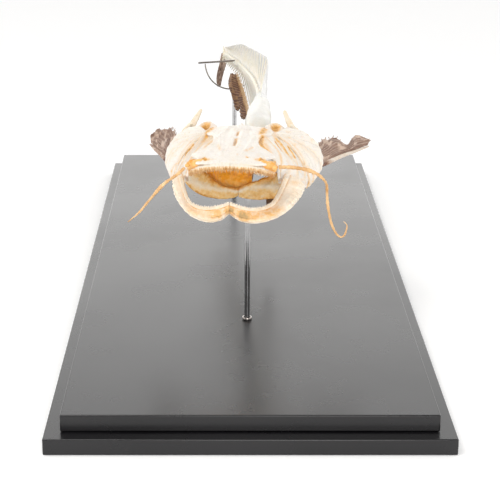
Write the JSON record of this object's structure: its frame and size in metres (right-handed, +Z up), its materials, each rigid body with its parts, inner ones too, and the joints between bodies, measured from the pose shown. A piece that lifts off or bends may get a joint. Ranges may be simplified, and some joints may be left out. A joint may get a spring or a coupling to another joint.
{
  "type": "catfish skeleton on a display stand",
  "caption": "Life-size skeleton of a broad-headed catfish, mouth open and tail curved, on metal rods over a stepped black board.",
  "frame": {"origin": "middle of the board's underside", "axes": "+Z up, head toward -Y and tail toward +Y, +X to the fish's own left; left and right are the fish's own"},
  "size_m": [0.19, 0.469, 0.1327],
  "materials": {
    "board": "black lacquer, satin",
    "metal": "polished",
    "bone": "dry matt bone, cream with ochre grease stains",
    "jaw_bone": "dry bone, warm cream with an orange toothed rim",
    "thin_bone": "thin pale bone, slightly see-through in the real thing",
    "stained_bone": "ochre to brown grease-stained bone",
    "fin": "dried brown fin skin, wrinkled",
    "barbel": "dried tan skin"
  },
  "bodies": {
    "root": {"base_lower_tier": "board", "base_upper_tier": "board", "rod_front": "metal", "rod_front_collar": "metal", "rod_rear": "metal", "rod_rear_collar": "metal", "tail_yoke": "metal", "tail_bar": "metal", "neurocranium": "bone", "throat_wall": "stained_bone", "premaxilla_left": "jaw_bone", "premaxilla_right": "jaw_bone", "maxilla_left": "stained_bone", "maxilla_right": "stained_bone", "barbel_left": "barbel", "barbel_right": "barbel", "palatine_left": "bone", "palatine_right": "bone", "suspensorium_left": "bone", "suspensorium_right": "bone", "opercle_left": "bone", "opercle_right": "bone", "posttemporal_left": "bone", "posttemporal_right": "bone", "dentary_left": "jaw_bone", "dentary_right": "jaw_bone", "pectoral_girdle_left": "thin_bone", "pectoral_girdle_right": "thin_bone", "pectoral_spine_left": "bone", "pectoral_spine_right": "bone", "pectoral_fin_left": "fin", "pectoral_fin_right": "fin", "pelvic_girdle_left": "thin_bone", "pelvic_girdle_right": "thin_bone", "pelvic_fin_left": "fin", "pelvic_fin_right": "fin", "weberian_complex": "bone", "nuchal_shield": "bone", "trunk_spines": "thin_bone", "ribs_left": "thin_bone", "ribs_right": "thin_bone", "tail_vertebrae_front": "thin_bone", "tail_vertebrae_rear": "thin_bone", "hypural_fan": "stained_bone", "caudal_fin": "fin", "anal_fin_base": "stained_bone", "anal_fin": "fin"}
  },
  "joints": []
}
